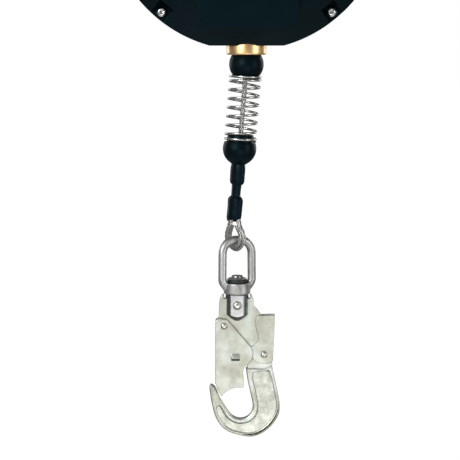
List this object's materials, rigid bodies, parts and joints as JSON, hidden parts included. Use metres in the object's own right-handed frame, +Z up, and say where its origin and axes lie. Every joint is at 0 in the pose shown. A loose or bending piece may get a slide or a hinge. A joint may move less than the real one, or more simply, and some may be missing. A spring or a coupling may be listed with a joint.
{
  "type": "self retracting lifeline",
  "caption": "Fall arrest block: round housing with a spring wound drum, buffered wire rope lifeline and a self locking swivel snap hook.",
  "frame": {"origin": "centre of the anchor eye, which the unit hangs from", "axes": "+Z up, -Y towards the front cover with the outlet block, +X to the right seen from the front"},
  "size_m": [0.276, 0.127, 0.7402],
  "materials": {
    "housing_plastic": "semi gloss moulded",
    "plated_steel": "zinc plated",
    "drum_aluminium": "turned",
    "wire_rope": "galvanised strands",
    "black_rubber": "matt",
    "brake_lining": "sintered",
    "brass": "turned",
    "bright_spring": "bright plated",
    "ferrule_aluminium": "pressed",
    "sleeve_plastic": "shrunk",
    "handle_coating": "dipped",
    "forged_steel": "tumbled forging",
    "hook_zinc": "satin zinc"
  },
  "bodies": {
    "anchor_eye": {"anchor_eye": "forged_steel", "anchor_nut": "plated_steel"},
    "housing": {"anchor_washer": "plated_steel", "front_cover": "housing_plastic", "rear_cover": "housing_plastic", "cover_gasket": "black_rubber", "cover_screws": "plated_steel", "cover_nuts": "plated_steel", "frame_plate_front": "plated_steel", "frame_plate_rear": "plated_steel", "frame_spacers": "plated_steel", "frame_bolts": "plated_steel", "anchor_block": "plated_steel", "main_shaft": "plated_steel", "shaft_nuts": "plated_steel", "cable_guide": "brass", "guide_nut": "plated_steel", "cable_run": "wire_rope", "spring_arbor": "plated_steel", "friction_lining_front": "brake_lining", "friction_lining_rear": "brake_lining", "pressure_plate": "plated_steel", "disc_spring": "plated_steel", "brake_nut": "plated_steel", "handle_brackets": "plated_steel", "handle_pins": "plated_steel", "bracket_screws": "plated_steel"},
    "brake_wheel": {"ratchet_wheel": "plated_steel"},
    "drum": {"drum_hub": "drum_aluminium", "drum_flange_front": "drum_aluminium", "drum_flange_rear": "drum_aluminium", "drum_bearings": "plated_steel", "wound_cable": "wire_rope", "spring_case": "plated_steel", "spring_cover": "plated_steel", "power_spring": "plated_steel", "pawl_pins": "plated_steel", "pawl_springs": "plated_steel"},
    "pawl_1": {"pawl_1": "plated_steel"},
    "pawl_2": {"pawl_2": "plated_steel"},
    "handle": {"carry_handle": "handle_coating"},
    "lifeline": {"payout_cable": "wire_rope", "lifeline_cable": "wire_rope", "lower_bumper": "black_rubber", "buffer_spring": "bright_spring", "ferrules": "ferrule_aluminium", "shrink_sleeve": "sleeve_plastic", "thimble": "bright_spring"},
    "bumper": {"upper_bumper": "black_rubber"},
    "eye": {"swivel_eye": "forged_steel"},
    "hook": {"swivel_stem": "forged_steel", "stem_nut": "forged_steel", "clevis_rivet": "hook_zinc", "hook_body": "hook_zinc", "gate_rivet": "hook_zinc", "gate_spring": "hook_zinc", "lever_rivet": "hook_zinc", "lever_spring": "hook_zinc"},
    "gate": {"gate": "hook_zinc"},
    "lever": {"lock_lever": "hook_zinc"}
  },
  "joints": [
    {"name": "housing_swivel", "type": "hinge", "parent": "anchor_eye", "child": "housing", "pos_m": [0, 0, -0.0447], "axis": [0, 0, 1], "continuous": true},
    {"name": "payout", "type": "slide", "parent": "housing", "child": "lifeline", "axis": [-0.0802, 0, -0.9968], "range_m": [0, 0.31416], "stiffness_N_per_m": 40, "springref_m": -0.6, "deforming": ["payout_cable"]},
    {"name": "drum_spin", "type": "hinge", "parent": "housing", "child": "drum", "pos_m": [0, 0, -0.183], "axis": [0, 1, 0], "range_deg": [0, 240], "deforming": ["power_spring"]},
    {"name": "brake_slip", "type": "hinge", "parent": "housing", "child": "brake_wheel", "pos_m": [0, 0, -0.183], "axis": [0, 1, 0], "continuous": true},
    {"name": "pawl_1_swing", "type": "hinge", "parent": "drum", "child": "pawl_1", "pos_m": [0.05989, 0.0297, -0.19905], "axis": [0, 1, 0], "range_deg": [0, 14]},
    {"name": "pawl_2_swing", "type": "hinge", "parent": "drum", "child": "pawl_2", "pos_m": [-0.05989, 0.0297, -0.16695], "axis": [0, 1, 0], "range_deg": [0, 14]},
    {"name": "handle_fold", "type": "hinge", "parent": "housing", "child": "handle", "pos_m": [0, 0.063, -0.138], "axis": [1, 0, 0], "range_deg": [0, 105]},
    {"name": "buffer_travel", "type": "slide", "parent": "lifeline", "child": "bumper", "axis": [-0.0802, 0, -0.9968], "range_m": [0, 0.024], "stiffness_N_per_m": 1500, "deforming": ["buffer_spring"]},
    {"name": "eye_swing", "type": "hinge", "parent": "lifeline", "child": "eye", "pos_m": [-0.0092, 0, -0.5097], "axis": [0.9397, 0.342, 0], "range_deg": [-45, 45]},
    {"name": "hook_swivel", "type": "hinge", "parent": "eye", "child": "hook", "pos_m": [-0.0092, 0, -0.5641], "axis": [0, 0, 1], "continuous": true},
    {"name": "gate_open", "type": "hinge", "parent": "hook", "child": "gate", "pos_m": [-0.0223, 0, -0.5962], "axis": [0, -1, 0], "range_deg": [0, 20], "stiffness_Nm_per_rad": 0.12, "springref_deg": -34.38},
    {"name": "lever_press", "type": "hinge", "parent": "hook", "child": "lever", "pos_m": [0.0177, 0, -0.6253], "axis": [0, -1, 0], "range_deg": [0, 10], "stiffness_Nm_per_rad": 0.12, "springref_deg": -22.92}
  ],
  "couplings": [
    {"joint": "drum_spin", "follows": "payout", "rad_per_m": 13.333},
    {"joint": "pawl_2_swing", "follows": "pawl_1_swing", "ratio": 1}
  ]
}
